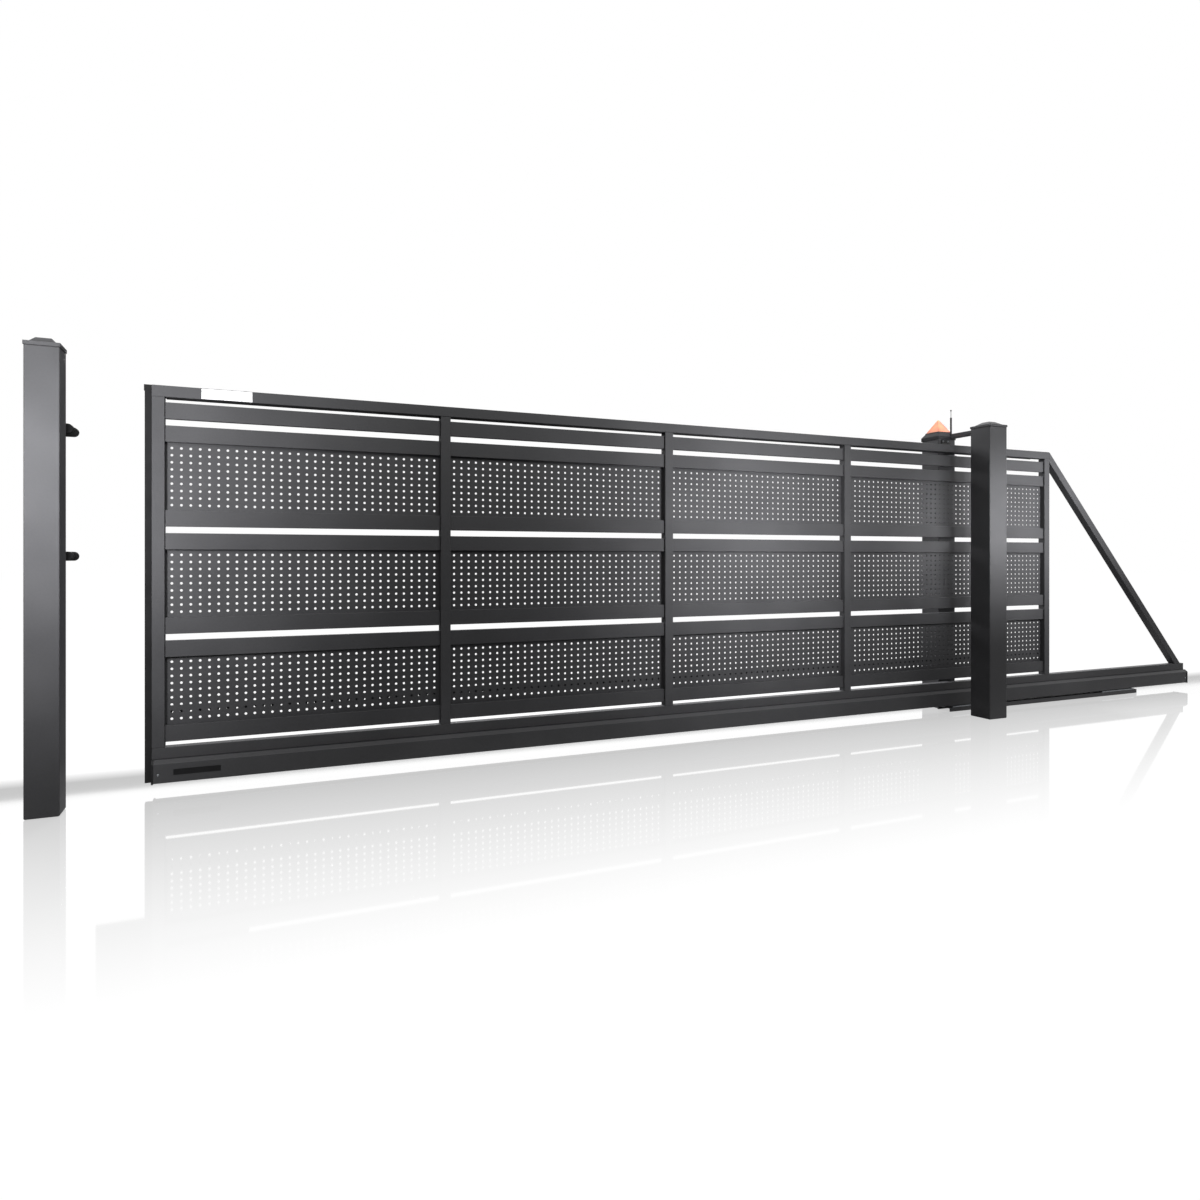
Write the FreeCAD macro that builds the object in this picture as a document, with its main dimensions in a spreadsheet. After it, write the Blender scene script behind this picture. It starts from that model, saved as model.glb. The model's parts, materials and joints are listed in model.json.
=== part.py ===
import FreeCAD, Part
import math
import os
import re

# Sliding driveway gate: a self-carrying leaf that rolls on two fixed carriages behind its guide post.
# Millimetres. X runs along the gate towards its tail, Y away from the street, Z up.
# The origin is the centre of the guide post's foot.

SIZES = {
    "passage_width": 3980, "post_height": 1488, "post_wall": 4, "foot_plate": 10,
    "guide_post_side": 120, "rear_post_side": 120, "receiving_post_side": 96,
    "receiving_post_y": 62, "leaf_line_y": 206, "rear_post_gap": 44,
    "cap_skirt": 12, "cap_overhang": 2, "crown_inset": 9, "crown_top": 44, "crown_height": 18,
    "frame_tube": 40, "frame_wall": 2, "leaf_lead": 3703, "ground_clearance": 35,
    "bay_short": 970, "bay_long": 1390, "tail_length": 1217, "brace_inset": 31,
    "slat_height": 58, "slat_depth": 19, "slat_setback": 9, "slat_wall": 2,
    "slat_gap": 23, "edge_gap": 17, "sheet_opening": 240, "sheet_thickness": 2, "sheet_lap": 12,
    "grid_opening": 40,
    "rail_width": 80, "rail_height": 80, "rail_wall": 5, "rail_slot": 24, "rail_bevel": 13,
    "end_cap_thickness": 6, "end_cap_lip": 2,
    "closing_depth": 21, "closing_width": 28, "closing_groove": 8,
    "track_width": 30, "track_height": 30, "track_wall": 3, "track_rise": 3, "track_stop": 30,
    "sill_left": 75, "sill_length": 1520, "sill_width": 88, "sill_height": 22, "sill_wall": 6,
    "anchor_hole": 14, "anchor_inset": 370, "anchor_spacing": 60, "sill_offset": 14,
    "carriage_length": 290, "carriage_plate": 12, "carriage_foot": 6, "carriage_foot_width": 56,
    "carriage_inset": 20, "wheel_diameter": 62, "wheel_width": 16, "wheel_spacing": 188,
    "axle_diameter": 16, "running_gap": 0.3, "wheel_side_gap": 2,
    "catch_length": 65, "catch_neck": 40, "catch_base": 10, "catch_prong": 22, "catch_mouth": 60,
    "catch_height": 31, "upper_catch_z": 1251, "lower_catch_z": 825, "catch_reach": 11,
    "head_rise": 18, "head_skirt": 18, "head_slope": 22, "head_overhang": 3,
    "lamp_plinth": 94, "plinth_height": 4,
    "lamp_foot": 90, "lamp_height": 72, "lamp_tip": 6,
    "aerial_sleeve": 10, "aerial_sleeve_height": 89, "aerial_rod": 3, "aerial_height": 128,
    "aerial_bead": 7, "aerial_x": 34, "aerial_inset": 4, "aerial_boss": 14, "aerial_drop": 6,
    "crossbar_x": 40, "crossbar_width": 30, "crossbar_height": 24, "crossbar_drop": 8,
    "rack_low": 260, "rack_width": 30, "rack_height": 30, "rack_module": 6, "tooth_angle": 20,
    "bracket_thickness": 6, "bracket_width": 60, "bracket_drop": 12,
    "roller_height": 18, "roller_pin": 10,
    "moving_gap": 5,
}

# Places that several pieces share, each worked out from the driving sizes.
PLACES = {
    "leaf_left": "guide_post_side / -2 - leaf_lead - frame_tube",
    "leaf_front": "leaf_line_y - frame_tube / 2",
    "leaf_back": "leaf_line_y + frame_tube / 2",
    "rail_top": "ground_clearance + rail_height",
    "infill_low": "rail_top + frame_tube",
    "panel_height": "2 * slat_height + sheet_opening",
    "infill_high": "infill_low + 2 * edge_gap + 3 * slat_gap + slat_height + 3 * panel_height",
    "leaf_top": "infill_high + frame_tube",
    "bay_step": "bay_short + frame_tube",
    "first_bay": "leaf_left + frame_tube",
    "tail_stile": "first_bay + 3 * bay_step + bay_long",
    "frame_right": "tail_stile + frame_tube",
    "leaf_right": "frame_right + tail_length",
    "rail_front": "leaf_line_y - rail_width / 2",
    "receiving_post_x": "guide_post_side / -2 - passage_width - receiving_post_side / 2",
    "rear_post_y": "leaf_back + rear_post_gap + rear_post_side / 2",
    "head_top": "post_height + head_rise",
    "head_low": "head_top - head_slope - head_skirt",
    "wheel_axis_z": "rail_top - rail_wall - running_gap - wheel_diameter / 2",
    "sill_y": "leaf_line_y + sill_offset",
    "track_z": "infill_high + track_rise",
}


def expand(text):
    """Writes shared places out in full, then names the sheet before each driving size."""
    while any(re.search(r"\b" + name + r"\b", text) for name in PLACES):
        text = re.sub(r"\b[a-z_]+\b", lambda m: "(" + PLACES[m.group(0)] + ")" if m.group(0) in PLACES
                      else m.group(0), text)
    return re.sub(r"\b[a-z_]+\b", lambda m: "Sizes." + m.group(0) if m.group(0) in SIZES
                  else m.group(0), text)


doc = FreeCAD.newDocument("sliding_gate")
sheet = doc.addObject("Spreadsheet::Sheet", "Sizes")
for row, (alias, number) in enumerate(SIZES.items(), start=1):
    sheet.set("A%d" % row, alias)
    sheet.set("B%d" % row, str(number))
    sheet.setAlias("B%d" % row, alias)
doc.recompute()
nodes = []


def mm(text):
    """The number, in millimetres, that an expression of sizes and places gives."""
    return float(sheet.evalExpression(expand(text)))


def finish(piece, label):
    """Gives a sub-part its node name and lists it for export."""
    piece.Label = label
    nodes.append(piece)
    return piece


def place(piece, x, y, z):
    for axis, text in zip("xyz", (x, y, z)):
        piece.setExpression("Placement.Base." + axis, expand(text))
    return piece


def box(name, length, depth, height, x, y, z):
    """A block whose lowest corner is at x, y, z."""
    piece = doc.addObject("Part::Box", name)
    for prop, text in (("Length", length), ("Width", depth), ("Height", height)):
        piece.setExpression(prop, expand(text))
    return place(piece, x, y, z)


def cylinder(name, diameter, height, x, y, z, turn=None):
    """A round bar that starts at x, y, z, upright unless it is turned."""
    piece = doc.addObject("Part::Cylinder", name)
    piece.setExpression("Radius", expand("(" + diameter + ") / 2"))
    piece.setExpression("Height", expand(height))
    if turn:
        piece.Placement = FreeCAD.Placement(FreeCAD.Vector(), turn)
    return place(piece, x, y, z)


def frustum(name, foot, top, height, x, y, z):
    """A square block on the middle x, y whose four sides lean in from its foot to its top."""
    piece = doc.addObject("Part::Wedge", name)
    low = "((" + foot + ") - (" + top + ")) / 2"
    high = "((" + foot + ") + (" + top + ")) / 2"
    for prop, text in (("Xmin", "0"), ("Ymin", "0"), ("Zmin", "0"), ("Xmax", foot), ("Ymax", height),
                       ("Zmax", foot), ("X2min", low), ("Z2min", low), ("X2max", high), ("Z2max", high)):
        piece.setExpression(prop, expand(text))
    piece.Placement = FreeCAD.Placement(FreeCAD.Vector(), FreeCAD.Rotation(FreeCAD.Vector(1, 0, 0), 90))
    return place(piece, x + " - (" + foot + ") / 2", y + " + (" + foot + ") / 2", z)


def cut(name, base, tool):
    piece = doc.addObject("Part::Cut", name)
    piece.Base = base
    piece.Tool = tool
    return piece


def fuse(name, *pieces):
    piece = doc.addObject("Part::MultiFuse", name)
    piece.Shapes = list(pieces)
    piece.Refine = True
    return piece


def group(name, pieces):
    """Solids that don't touch, kept in one node."""
    piece = doc.addObject("Part::Compound", name)
    piece.Links = list(pieces)
    return piece


def tube_x(name, length, depth, height, wall, x, y, z, end="0"):
    """A rectangular tube that runs along the gate, open unless an end wall closes its tail end."""
    outer = box(name + "_outer", length, depth, height, x, y, z)
    inner = box(name + "_inner", length + " - " + end, depth + " - 2 * " + wall,
                height + " - 2 * " + wall, x, y + " + " + wall, z + " + " + wall)
    return cut(name, outer, inner)


def tube_z(name, length, depth, height, wall, x, y, z, floor="0"):
    """An upright rectangular tube, open at its ends unless it has a floor."""
    outer = box(name + "_outer", length, depth, height, x, y, z)
    inner = box(name + "_inner", length + " - 2 * " + wall, depth + " - 2 * " + wall,
                height + " - (" + floor + ")", x + " + " + wall, y + " + " + wall, z + " + " + floor)
    return cut(name, outer, inner)


def sketch_on(body, role, label):
    """A sketch on one of its own body's origin planes."""
    sketch = body.newObject("Sketcher::SketchObject", label)
    plane = [item for item in body.Origin.OriginFeatures if item.Role == role][0]
    sketch.AttachmentSupport = [(plane, "")]
    sketch.MapMode = "FlatFace"
    return sketch


def outline(sketch, points):
    """A closed outline of straight sides."""
    corners = [FreeCAD.Vector(u, v, 0) for u, v in points]
    for index, corner in enumerate(corners):
        sketch.addGeometry(Part.LineSegment(corner, corners[(index + 1) % len(corners)]), False)


# Posts: square steel tubes closed by a foot plate at ground level.

def post(name, side, x, y, height):
    return tube_z(name, side, side, height, "post_wall", x + " - " + side + " / 2",
                  y + " - " + side + " / 2", "0", "foot_plate")


finish(post("ReceivingPost", "receiving_post_side", "receiving_post_x", "receiving_post_y",
            "post_height"), "receiving_post")
finish(post("GuidePost", "guide_post_side", "0", "0", "post_height"), "guide_post")
finish(post("RearPost", "rear_post_side", "0", "rear_post_y", "head_low"), "rear_post")


# Post caps: a skirt that stands a little proud of the tube, under a low crown with sloping sides.

def post_cap(name, side, x, y):
    width = "(" + side + " + 2 * cap_overhang)"
    skirt = box(name + "Skirt", width, width, "cap_skirt", x + " - " + width + " / 2",
                y + " - " + width + " / 2", "post_height")
    crown = frustum(name + "Crown", side + " - 2 * crown_inset", "crown_top", "crown_height", x, y,
                    "post_height + cap_skirt")
    return fuse(name, skirt, crown)


finish(post_cap("ReceivingCap", "receiving_post_side", "receiving_post_x", "receiving_post_y"),
       "receiving_post_cap")
finish(post_cap("GuideCap", "guide_post_side", "0", "0"), "guide_post_cap")


# Rear post head: the cover of the drive, with the flashing lamp and the aerial on it.

head_side = "(rear_post_side + 2 * head_overhang)"
head_front = "(rear_post_y - " + head_side + " / 2)"
aerial_y = "(rear_post_y - rear_post_side / 2 + aerial_inset)"
aerial_foot = "(head_top - aerial_drop)"
head_skirt = box("HeadSkirt", head_side, head_side, "head_skirt", head_side + " / -2", head_front,
                 "head_low")
head_slopes = frustum("HeadSlopes", head_side, "lamp_plinth", "head_slope", "0", "rear_post_y",
                      "head_low + head_skirt")
boss = box("AerialBoss", "aerial_boss", "aerial_boss", aerial_foot + " - head_low",
           "aerial_x - aerial_boss / 2", aerial_y + " - aerial_boss / 2", "head_low")
finish(fuse("RearHead", head_skirt, head_slopes, boss), "drive_head")
finish(box("LampPlinth", "lamp_plinth", "lamp_plinth", "plinth_height", "lamp_plinth / -2",
           "rear_post_y - lamp_plinth / 2", "head_top"), "lamp_base")
finish(frustum("Lamp", "lamp_foot", "lamp_tip", "lamp_height", "0", "rear_post_y",
               "head_top + plinth_height"), "lamp_lens")

sleeve = cylinder("AerialSleeve", "aerial_sleeve", "aerial_sleeve_height", "aerial_x",
                  aerial_y, aerial_foot)
rod = cylinder("AerialRod", "aerial_rod", "aerial_height", "aerial_x", aerial_y, aerial_foot)
bead = cylinder("AerialBead", "aerial_bead", "aerial_bead", "aerial_x", aerial_y,
                aerial_foot + " + aerial_height - aerial_bead / 2")
finish(fuse("Aerial", sleeve, rod, bead), "aerial")


# Crossbar: an arm over the leaf, from the guide post's cap to the drive head.

crossbar_start = "(guide_post_side / 2 + cap_overhang)"
finish(box("Crossbar", "crossbar_width", head_front + " - " + crossbar_start, "crossbar_height",
           "crossbar_x - crossbar_width / 2", crossbar_start,
           "head_top - crossbar_drop - crossbar_height"), "crossbar")


# Catches: forks on the back of the receiving post, whose round-nosed prongs take the leaf's edge.

turn_to_y = FreeCAD.Rotation(FreeCAD.Vector(1, 0, 0), -90)


def catch(name, z):
    """A back plate across both prongs, a neck to the post and the prongs themselves."""
    low = z + " - catch_height / 2"
    left = "receiving_post_x + receiving_post_side / 2 + catch_reach - catch_length"
    post_back = "(receiving_post_y + receiving_post_side / 2)"
    near = "(leaf_line_y - catch_mouth / 2 - catch_prong)"
    far = "(leaf_line_y + catch_mouth / 2)"
    nose = left + " + catch_length - catch_height / 2"
    pieces = [box(name + "Plate", "catch_base", far + " + catch_prong - " + post_back, "catch_height",
                  left, post_back, low),
              box(name + "Neck", "catch_neck", near + " + catch_prong - " + post_back, "catch_height",
                  left, post_back, low)]
    for side, y in (("Near", near), ("Far", far)):
        pieces.append(box(name + side, "catch_length - catch_height / 2", "catch_prong", "catch_height",
                          left, y, low))
        pieces.append(cylinder(name + side + "Nose", "catch_height", "catch_prong", nose, y, z,
                               turn_to_y))
    return fuse(name, *pieces)


finish(catch("UpperCatch", "upper_catch_z"), "upper_catch")
finish(catch("LowerCatch", "lower_catch_z"), "lower_catch")


# Leaf frame: square tube all round, three mullions and a brace over the tail.

infill = "(infill_high - infill_low)"
finish(tube_x("TopRail", "frame_right - leaf_left", "frame_tube", "frame_tube", "frame_wall",
              "leaf_left", "leaf_front", "infill_high", "frame_wall"), "top_rail")
finish(tube_x("BottomRail", "leaf_right - leaf_left", "frame_tube", "frame_tube", "frame_wall",
              "leaf_left", "leaf_front", "rail_top", "frame_wall"), "bottom_rail")


def upright(name, x, label):
    return finish(tube_z(name, "frame_tube", "frame_tube", infill, "frame_wall", x, "leaf_front",
                         "infill_low"), label)


upright("ClosingStile", "leaf_left", "closing_stile")
upright("MullionA", "first_bay + bay_short", "mullion_1")
upright("MullionB", "first_bay + bay_short + bay_step", "mullion_2")
upright("MullionC", "first_bay + bay_short + 2 * bay_step", "mullion_3")
upright("TailStile", "tail_stile", "tail_stile")


def tail_brace():
    """A square tube from the tail stile's top corner down to the bottom rail, its ends mitred."""
    x0, z1 = mm("frame_right"), mm("leaf_top")
    x1, z0 = mm("leaf_right - brace_inset"), mm("infill_low")
    tube, wall, front = mm("frame_tube"), mm("frame_wall"), mm("leaf_front")
    run, drop = x1 - x0, z1 - z0
    slope = (run ** 2 + drop ** 2) ** 0.5
    rise = tube * slope / run
    foot = tube * slope / drop
    side_wall = wall * slope / run
    side_foot = wall * slope / drop
    outer = [(x0, z1), (x1, z0), (x1 - foot, z0), (x0, z1 - rise)]
    inner = [(x0, z1 - side_wall), (x1 - side_foot, z0), (x1 - foot + side_foot, z0),
             (x0, z1 - rise + side_wall)]

    def prism(points, y, depth):
        corners = [FreeCAD.Vector(x, y, z) for x, z in points]
        face = Part.Face(Part.makePolygon(corners + corners[:1]))
        return face.extrude(FreeCAD.Vector(0, depth, 0))

    piece = doc.addObject("Part::Feature", "TailBrace")
    piece.Shape = prism(outer, front, tube).cut(prism(inner, front + wall, tube - 2 * wall))
    return piece


finish(tail_brace(), "tail_brace")

# Closing edge: a grooved buffer strip down the leading stile.

strip = box("ClosingStrip", "closing_depth", "closing_width", "leaf_top - ground_clearance",
            "leaf_left - closing_depth", "leaf_line_y - closing_width / 2", "ground_clearance")
groove = box("ClosingGroove", "closing_groove", "closing_groove", "leaf_top - ground_clearance",
             "leaf_left - closing_depth", "leaf_line_y - closing_groove / 2", "ground_clearance")
finish(cut("ClosingEdge", strip, groove), "closing_edge")


# Infill: each bay holds seven hollow slats, and three sheets with two rows of openings behind them.

slat_y = "(leaf_front + slat_setback)"
module = "(panel_height + slat_gap)"
bays = [("first_bay + " + str(index) + " * bay_step", "bay_short" if index < 3 else "bay_long")
        for index in range(4)]


def slat(name, x, length, z):
    return tube_x(name, length, "slat_depth", "slat_height", "slat_wall", x, slat_y, z)


def bay_slats(index, x, length):
    slats = []
    for level in range(3):
        foot = "infill_low + edge_gap + " + str(level) + " * " + module
        slats.append(slat("Slat%d%dLow" % (index, level), x, length, foot))
        slats.append(slat("Slat%d%dHigh" % (index, level), x, length,
                          foot + " + slat_height + sheet_opening"))
    slats.append(slat("Slat%dTop" % index, x, length, "infill_high - edge_gap - slat_height"))
    return group("Slats%d" % index, slats)


def bay_sheets(index, x, length, columns):
    sheets = []
    for level in range(3):
        name = "Sheet%d%d" % (index, level)
        low = "infill_low + edge_gap + slat_height - sheet_lap + " + str(level) + " * " + module
        blank = box(name + "Blank", length, "sheet_thickness", "sheet_opening + 2 * sheet_lap", x,
                    slat_y + " + slat_depth", low)
        openings = []
        for column in range(columns):
            across = x + " + %d * " % (2 * column + 1) + length + " / %d" % (2 * columns)
            for row in (1, 3):
                up = low + " + sheet_lap + %d * sheet_opening / 4" % row
                openings.append(box("%sOpening%d%d" % (name, column, row), "grid_opening",
                                    "sheet_thickness", "grid_opening", across + " - grid_opening / 2",
                                    slat_y + " + slat_depth", up + " - grid_opening / 2"))
        sheets.append(cut(name, blank, group(name + "Openings", openings)))
    return group("Sheets%d" % index, sheets)


for index, (bay_x, bay_length) in enumerate(bays, start=1):
    finish(bay_slats(index, bay_x, bay_length), "slats_bay_%d" % index)
    grid_columns = 6 if bay_length == "bay_short" else 9
    finish(bay_sheets(index, bay_x, bay_length, grid_columns), "sheets_bay_%d" % index)


# Guide rail: a C section with bevelled shoulders, slotted underneath for the carriages.

def guide_rail():
    body = doc.addObject("PartDesign::Body", "GuideRail")
    sketch = sketch_on(body, "YZ_Plane", "GuideRailSketch")
    half, wall, slot = mm("rail_width / 2"), mm("rail_wall"), mm("rail_slot / 2")
    height, bevel = mm("rail_height"), mm("rail_bevel")
    inner, roof = half - wall, height - wall
    inner_bevel = bevel - wall * (2 - 2 ** 0.5)
    right = [(slot, 0), (half, 0), (half, height - bevel), (half - bevel, height)]
    right_inner = [(inner - inner_bevel, roof), (inner, roof - inner_bevel), (inner, wall), (slot, wall)]
    left = [(-u, v) for u, v in reversed(right)]
    left_inner = [(-u, v) for u, v in reversed(right_inner)]
    outline(sketch, right + left + left_inner + right_inner)
    pad = body.newObject("PartDesign::Pad", "GuideRailPad")
    pad.Profile = sketch
    pad.setExpression("Length", expand("leaf_right - leaf_left - end_cap_thickness"))
    body.Tip = pad
    return place(body, "leaf_left + end_cap_thickness", "leaf_line_y", "ground_clearance")


finish(guide_rail(), "guide_rail")


def rail_cap(name, x):
    """A plate that closes the guide rail's end, with the rail's own shoulders."""
    body = doc.addObject("PartDesign::Body", name)
    sketch = sketch_on(body, "YZ_Plane", name + "Sketch")
    half, height = mm("rail_width / 2"), mm("rail_height")
    bevel, lip = mm("rail_bevel"), mm("end_cap_lip")
    outline(sketch, [(-half - lip, -lip), (half + lip, -lip), (half + lip, height - bevel),
                     (half - bevel, height), (-half + bevel, height), (-half - lip, height - bevel)])
    pad = body.newObject("PartDesign::Pad", name + "Pad")
    pad.Profile = sketch
    pad.setExpression("Length", expand("end_cap_thickness"))
    body.Tip = pad
    return place(body, x, "leaf_line_y", "ground_clearance")


finish(rail_cap("FrontCap", "leaf_left"), "front_rail_cap")
finish(rail_cap("TailCap", "leaf_right"), "tail_rail_cap")


# Guide track: a channel behind the top rail, open downwards, in which the fixed roller runs.

track_length = "(tail_stile - track_stop - first_bay)"
track_outer = box("TrackOuter", track_length, "track_width", "track_height", "first_bay", "leaf_back",
                  "track_z")
track_inner = box("TrackInner", track_length, "track_width - 2 * track_wall",
                  "track_height - track_wall", "first_bay", "leaf_back + track_wall", "track_z")
finish(cut("GuideTrack", track_outer, track_inner), "guide_track")

track_y = "(leaf_back + track_width / 2)"
finish(cylinder("TrackRoller", "track_width - 2 * track_wall - 2 * running_gap", "roller_height", "0",
                track_y, "track_z + running_gap"), "track_roller")
arm_z = "(track_z - bracket_drop - bracket_thickness)"
arm = box("BracketArm", "bracket_width", "rear_post_gap - moving_gap",
          "bracket_thickness", "bracket_width / -2", "leaf_back + moving_gap", arm_z)
pin = cylinder("BracketPin", "roller_pin", "bracket_drop + running_gap", "0", track_y,
               arm_z + " + bracket_thickness")
finish(fuse("RollerBracket", arm, pin), "roller_bracket")


# Gear rack: a toothed bar along the backs of the uprights, its teeth down, for the drive's pinion.

def gear_rack():
    left, right, back = mm("leaf_left"), mm("frame_right"), mm("leaf_back")
    module, low = mm("rack_module"), mm("rack_low")
    pitch = math.pi * module
    depth = 2.25 * module  # the whole depth of a standard tooth
    slope = depth * math.tan(math.radians(mm("tooth_angle")))
    root = low + depth
    crest = (pitch - 2 * slope) / 2
    count = int((right - left) / pitch)
    start = (left + right - count * pitch) / 2
    profile = [(left, low + mm("rack_height")), (left, root)]
    for tooth in range(count):
        x = start + tooth * pitch + crest / 2
        profile += [(x, root), (x + slope, low), (x + slope + crest, low), (x + 2 * slope + crest, root)]
    profile += [(right, root), (right, low + mm("rack_height"))]
    corners = [FreeCAD.Vector(x, back, z) for x, z in profile]
    piece = doc.addObject("Part::Feature", "GearRack")
    face = Part.Face(Part.makePolygon(corners + corners[:1]))
    piece.Shape = face.extrude(FreeCAD.Vector(0, mm("rack_width"), 0))
    return piece


finish(gear_rack(), "gear_rack")


# Carriage sill: a channel on the ground under the rail, with anchor holes through its web.

sill = box("SillOuter", "sill_length", "sill_width", "sill_height", "-sill_left",
           "sill_y - sill_width / 2", "0")
sill_hollow = box("SillHollow", "sill_length", "sill_width - 2 * sill_wall", "sill_height - sill_wall",
                  "-sill_left", "sill_y - sill_width / 2 + sill_wall", "0")
holes = []
for index, (end, side) in enumerate([(a, b) for a in (0, 1) for b in (-1, 1)]):
    hole_x = "-sill_left + anchor_inset + %d * (sill_length - 2 * anchor_inset)" % end
    hole_y = "sill_y + %d * anchor_spacing / 2" % side
    holes.append(cylinder("AnchorHole%d" % index, "anchor_hole", "sill_height", hole_x, hole_y, "0"))
finish(cut("Sill", cut("SillChannel", sill, sill_hollow), group("AnchorHoles", holes)), "carriage_sill")


# Carriages: an upright plate through the rail's slot, with two axles and a wheel each side.

axle_length = "(carriage_plate + 2 * wheel_side_gap + 2 * wheel_width)"


def wheel(name, x, y):
    """A plain steel wheel, bored to run on its axle."""
    disc = cylinder(name + "Disc", "wheel_diameter", "wheel_width", x, y, "wheel_axis_z", turn_to_y)
    bore = cylinder(name + "Bore", "axle_diameter + 2 * running_gap", "wheel_width", x, y,
                    "wheel_axis_z", turn_to_y)
    return cut(name, disc, bore)


def carriage(number, start):
    name = "Carriage%d" % number
    middle = "(" + start + " + carriage_length / 2)"
    foot = box(name + "Foot", "carriage_length", "carriage_foot_width", "carriage_foot", start,
               "leaf_line_y - carriage_foot_width / 2", "sill_height")
    plate = box(name + "Plate", "carriage_length", "carriage_plate",
                "wheel_axis_z + axle_diameter - sill_height", start,
                "leaf_line_y - carriage_plate / 2", "sill_height")
    axles, wheels = [], []
    for end, side in (("Lead", "-1"), ("Tail", "1")):
        x = middle + " + " + side + " * wheel_spacing / 2"
        axles.append(cylinder(name + end + "Axle", "axle_diameter", axle_length, x,
                              "leaf_line_y - " + axle_length + " / 2", "wheel_axis_z", turn_to_y))
        wheels.append(wheel(name + end + "Front", x,
                            "leaf_line_y - carriage_plate / 2 - wheel_side_gap - wheel_width"))
        wheels.append(wheel(name + end + "Back", x,
                            "leaf_line_y + carriage_plate / 2 + wheel_side_gap"))
    finish(fuse(name, foot, plate, *axles), "carriage_%d" % number)
    finish(group(name + "Wheels", wheels), "carriage_%d_wheels" % number)


carriage(1, "(-sill_left + carriage_inset)")
carriage(2, "(-sill_left + sill_length - carriage_inset - carriage_length)")


doc.recompute()
for item in doc.Objects:
    if "Invalid" in item.State or "Error" in item.State:
        raise RuntimeError("failed feature: " + item.Label)
os.makedirs("parts", exist_ok=True)
for piece in nodes:
    shape = piece.Shape
    if shape.isNull() or not shape.isValid() or not shape.Solids:
        raise RuntimeError("bad shape: " + piece.Label)
    shape.exportStep("parts/" + piece.Label + ".step")
print(len(nodes), "pieces written")
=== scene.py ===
# %% [markdown]
# # A sliding driveway gate
# The gate is a steel leaf that hangs clear of the drive and rolls on carriages past its guide post.
# The imported model already holds the tubes, rails, posts and wheels at their real size. This script dresses
# them: it gives every piece its finish, builds the infill sheets with their holes, and adds small fixings.
# Loading the frame comes first.

# %% Load the frame
import json
import math

import bmesh
import bpy
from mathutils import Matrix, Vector


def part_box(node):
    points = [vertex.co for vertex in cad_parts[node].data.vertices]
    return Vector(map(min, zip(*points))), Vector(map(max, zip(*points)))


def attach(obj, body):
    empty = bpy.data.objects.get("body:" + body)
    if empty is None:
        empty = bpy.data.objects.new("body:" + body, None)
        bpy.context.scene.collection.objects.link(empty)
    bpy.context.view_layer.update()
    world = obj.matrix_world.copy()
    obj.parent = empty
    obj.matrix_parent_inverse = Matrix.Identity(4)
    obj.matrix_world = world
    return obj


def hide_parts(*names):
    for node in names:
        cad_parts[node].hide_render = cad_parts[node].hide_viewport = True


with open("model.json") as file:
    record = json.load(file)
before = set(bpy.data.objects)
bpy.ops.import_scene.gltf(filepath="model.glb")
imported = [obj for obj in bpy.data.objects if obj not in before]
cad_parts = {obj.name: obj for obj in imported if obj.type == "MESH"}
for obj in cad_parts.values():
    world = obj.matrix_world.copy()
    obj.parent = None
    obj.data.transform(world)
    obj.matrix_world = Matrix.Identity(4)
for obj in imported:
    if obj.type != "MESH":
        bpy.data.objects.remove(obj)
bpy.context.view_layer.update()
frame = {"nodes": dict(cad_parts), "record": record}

scene = bpy.context.scene
print("CAD nodes:", len(frame["nodes"]))

# %% [markdown]
# ## The camera
# A camera can be placed by eye, or worked out from lines whose real direction is known. The leaf's hole
# rows gave the lens and the place here, so that the render can be laid over the photograph. The camera
# stays level, and a small vertical shift moves the horizon up instead of tilting it, which keeps the
# posts upright in the picture.

# %% The camera
LENS_MM = 23.866
SENSOR_MM = 36
CAMERA_PLACE = (-3.4639, -2.9769, 0.819)
CAMERA_TURN = math.radians(-23.291)
HORIZON_SHIFT = -0.035

camera = bpy.data.objects.new("camera", bpy.data.cameras.new("camera"))
scene.collection.objects.link(camera)
camera.location = CAMERA_PLACE
camera.rotation_euler = (math.radians(90), 0, CAMERA_TURN)
camera.data.lens = LENS_MM
camera.data.sensor_width = SENSOR_MM
camera.data.shift_y = HORIZON_SHIFT
scene.camera = camera
print("camera at", CAMERA_PLACE)

# %% [markdown]
# ## Colours and nodes
# Colours are easiest to read as the hex values of a paint chart, but a shader works in linear light, so
# one function turns the first into the second. A second small function adds a node, sets its inputs and
# makes its links, so that each material below reads as a list of what it is made of.

# %% Colours and nodes
def linear(hex_code):
    """Turns an sRGB hex colour into linear red, green, blue and alpha."""
    values = [int(hex_code[i:i + 2], 16) / 255 for i in (1, 3, 5)]
    return tuple(v / 12.92 if v <= 0.04045 else ((v + 0.055) / 1.055) ** 2.4 for v in values) + (1.0,)


def add_node(material, kind, settings=None, inputs=None, links=None):
    """Adds a node. settings are its own properties, inputs its socket values, links its sources."""
    node = material.node_tree.nodes.new(kind)
    for key, value in (settings or {}).items():
        setattr(node, key, value)
    for key, value in (inputs or {}).items():
        node.inputs[key].default_value = value
    for key, source in (links or {}).items():
        material.node_tree.links.new(source, node.inputs[key])
    return node


def new_material(name):
    material = bpy.data.materials.new(name)
    material.use_nodes = True
    material.node_tree.nodes.clear()
    return material


print("mid grey #808080 in linear light:", round(linear("#808080")[0], 3))

# %% [markdown]
# ## Millimetres
# Blender counts in metres here, and a gate is drawn in millimetres. A procedural pattern has a scale
# instead of a size: the number of times it repeats in a metre. One short function turns millimetres into
# metres, and a second turns a pattern's size into its scale.

# %% Millimetres
def mm(length):
    """Millimetres as metres."""
    return length / 1000


def pattern_scale(size_mm):
    """The noise scale that repeats about once in that many millimetres."""
    return 1000 / size_mm


print("a 4 mm pattern has scale", pattern_scale(4))

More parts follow.
